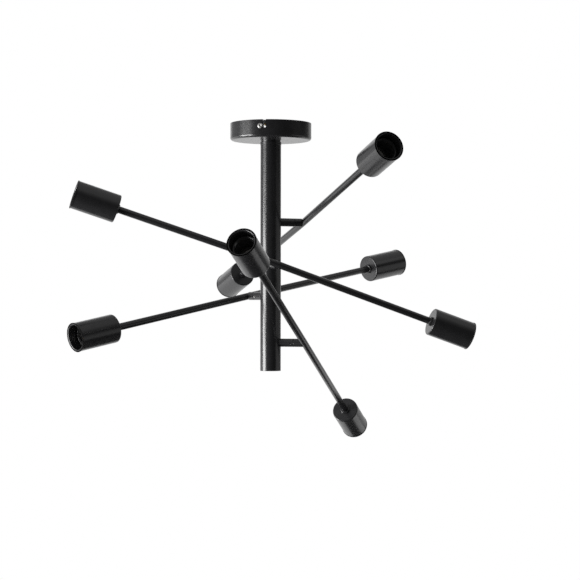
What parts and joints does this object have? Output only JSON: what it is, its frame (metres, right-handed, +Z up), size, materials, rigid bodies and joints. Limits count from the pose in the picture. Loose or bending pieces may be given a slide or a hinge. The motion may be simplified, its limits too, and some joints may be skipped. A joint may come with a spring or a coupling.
{
  "type": "semi-flush ceiling light",
  "caption": "Semi-flush ceiling light: round canopy, straight column and tilting see-saw arms, each rod ending in an open cylindrical lamp cup.",
  "frame": {"origin": "on the ceiling plane, at the centre of the strap's pair of screw slots, which is the column's axis", "axes": "+Z up into the ceiling, along the column; Y along the strap, with one side screw at -Y; X completes a right-handed frame"},
  "size_m": [0.5382, 0.5673, 0.4747],
  "materials": {
    "black_coat": "satin black powder coat",
    "zinc_steel": "zinc-plated steel",
    "bright_steel": "bright nickel-plated screws",
    "brass": "plain brass",
    "white_plastic": "moulded polyamide",
    "black_plastic": "moulded thermoset, half gloss",
    "ceramic": null
  },
  "bodies": {
    "ceiling_mount": {"ceiling_strap": "zinc_steel", "side_screws": "bright_steel", "earth_screw": "brass", "terminal_block": "white_plastic", "terminal_screws": "zinc_steel"},
    "column": {"canopy": "black_coat", "entry_tube": "zinc_steel", "entry_nut": "zinc_steel", "tooth_washer": "zinc_steel", "column_collar": "black_coat", "column_plug": "zinc_steel", "column": "black_coat", "foot_cap": "black_coat", "clamp_screws": "bright_steel", "stub_1": "black_coat", "stub_2": "black_coat", "stub_3": "black_coat", "stub_4": "black_coat"},
    "arm_1": {"swivel_hub_1": "black_coat", "rod_1": "black_coat", "cup_1a": "black_coat", "cup_1b": "black_coat", "lampholder_1a": "black_plastic", "lampholder_1b": "black_plastic", "holder_caps_1": "black_plastic", "contact_carriers_1": "ceramic", "contacts_1": "brass", "lock_nuts_1": "black_coat"},
    "arm_2": {"swivel_hub_2": "black_coat", "rod_2": "black_coat", "cup_2a": "black_coat", "cup_2b": "black_coat", "lampholder_2a": "black_plastic", "lampholder_2b": "black_plastic", "holder_caps_2": "black_plastic", "contact_carriers_2": "ceramic", "contacts_2": "brass", "lock_nuts_2": "black_coat"},
    "arm_3": {"swivel_hub_3": "black_coat", "rod_3": "black_coat", "cup_3a": "black_coat", "cup_3b": "black_coat", "lampholder_3a": "black_plastic", "lampholder_3b": "black_plastic", "holder_caps_3": "black_plastic", "contact_carriers_3": "ceramic", "contacts_3": "brass", "lock_nuts_3": "black_coat"},
    "arm_4": {"swivel_hub_4": "black_coat", "rod_4": "black_coat", "cup_4a": "black_coat", "cup_4b": "black_coat", "lampholder_4a": "black_plastic", "lampholder_4b": "black_plastic", "holder_caps_4": "black_plastic", "contact_carriers_4": "ceramic", "contacts_4": "brass", "lock_nuts_4": "black_coat"}
  },
  "joints": [
    {"name": "canopy_twist", "type": "hinge", "parent": "ceiling_mount", "child": "column", "pos_m": [0, 0, 0], "axis": [0, 0, 1], "range_deg": [-5.3, 0]},
    {"name": "arm_1_tilt", "type": "hinge", "parent": "column", "child": "arm_1", "pos_m": [0.04113, 0.03099, -0.1435], "axis": [0.7986, 0.6018, 0], "range_deg": [-3.2, 36.8]},
    {"name": "arm_2_tilt", "type": "hinge", "parent": "column", "child": "arm_2", "pos_m": [0.02258, -0.04629, -0.2065], "axis": [0.4384, -0.8988, 0], "range_deg": [-16, 17]},
    {"name": "arm_3_tilt", "type": "hinge", "parent": "column", "child": "arm_3", "pos_m": [-0.04113, 0.03099, -0.251], "axis": [-0.7986, 0.6018, 0], "range_deg": [-29.3, 10.7]},
    {"name": "arm_4_tilt", "type": "hinge", "parent": "column", "child": "arm_4", "pos_m": [0.05137, -0.00359, -0.319], "axis": [0.9976, -0.0698, 0], "range_deg": [-33.3, 34.7]}
  ]
}
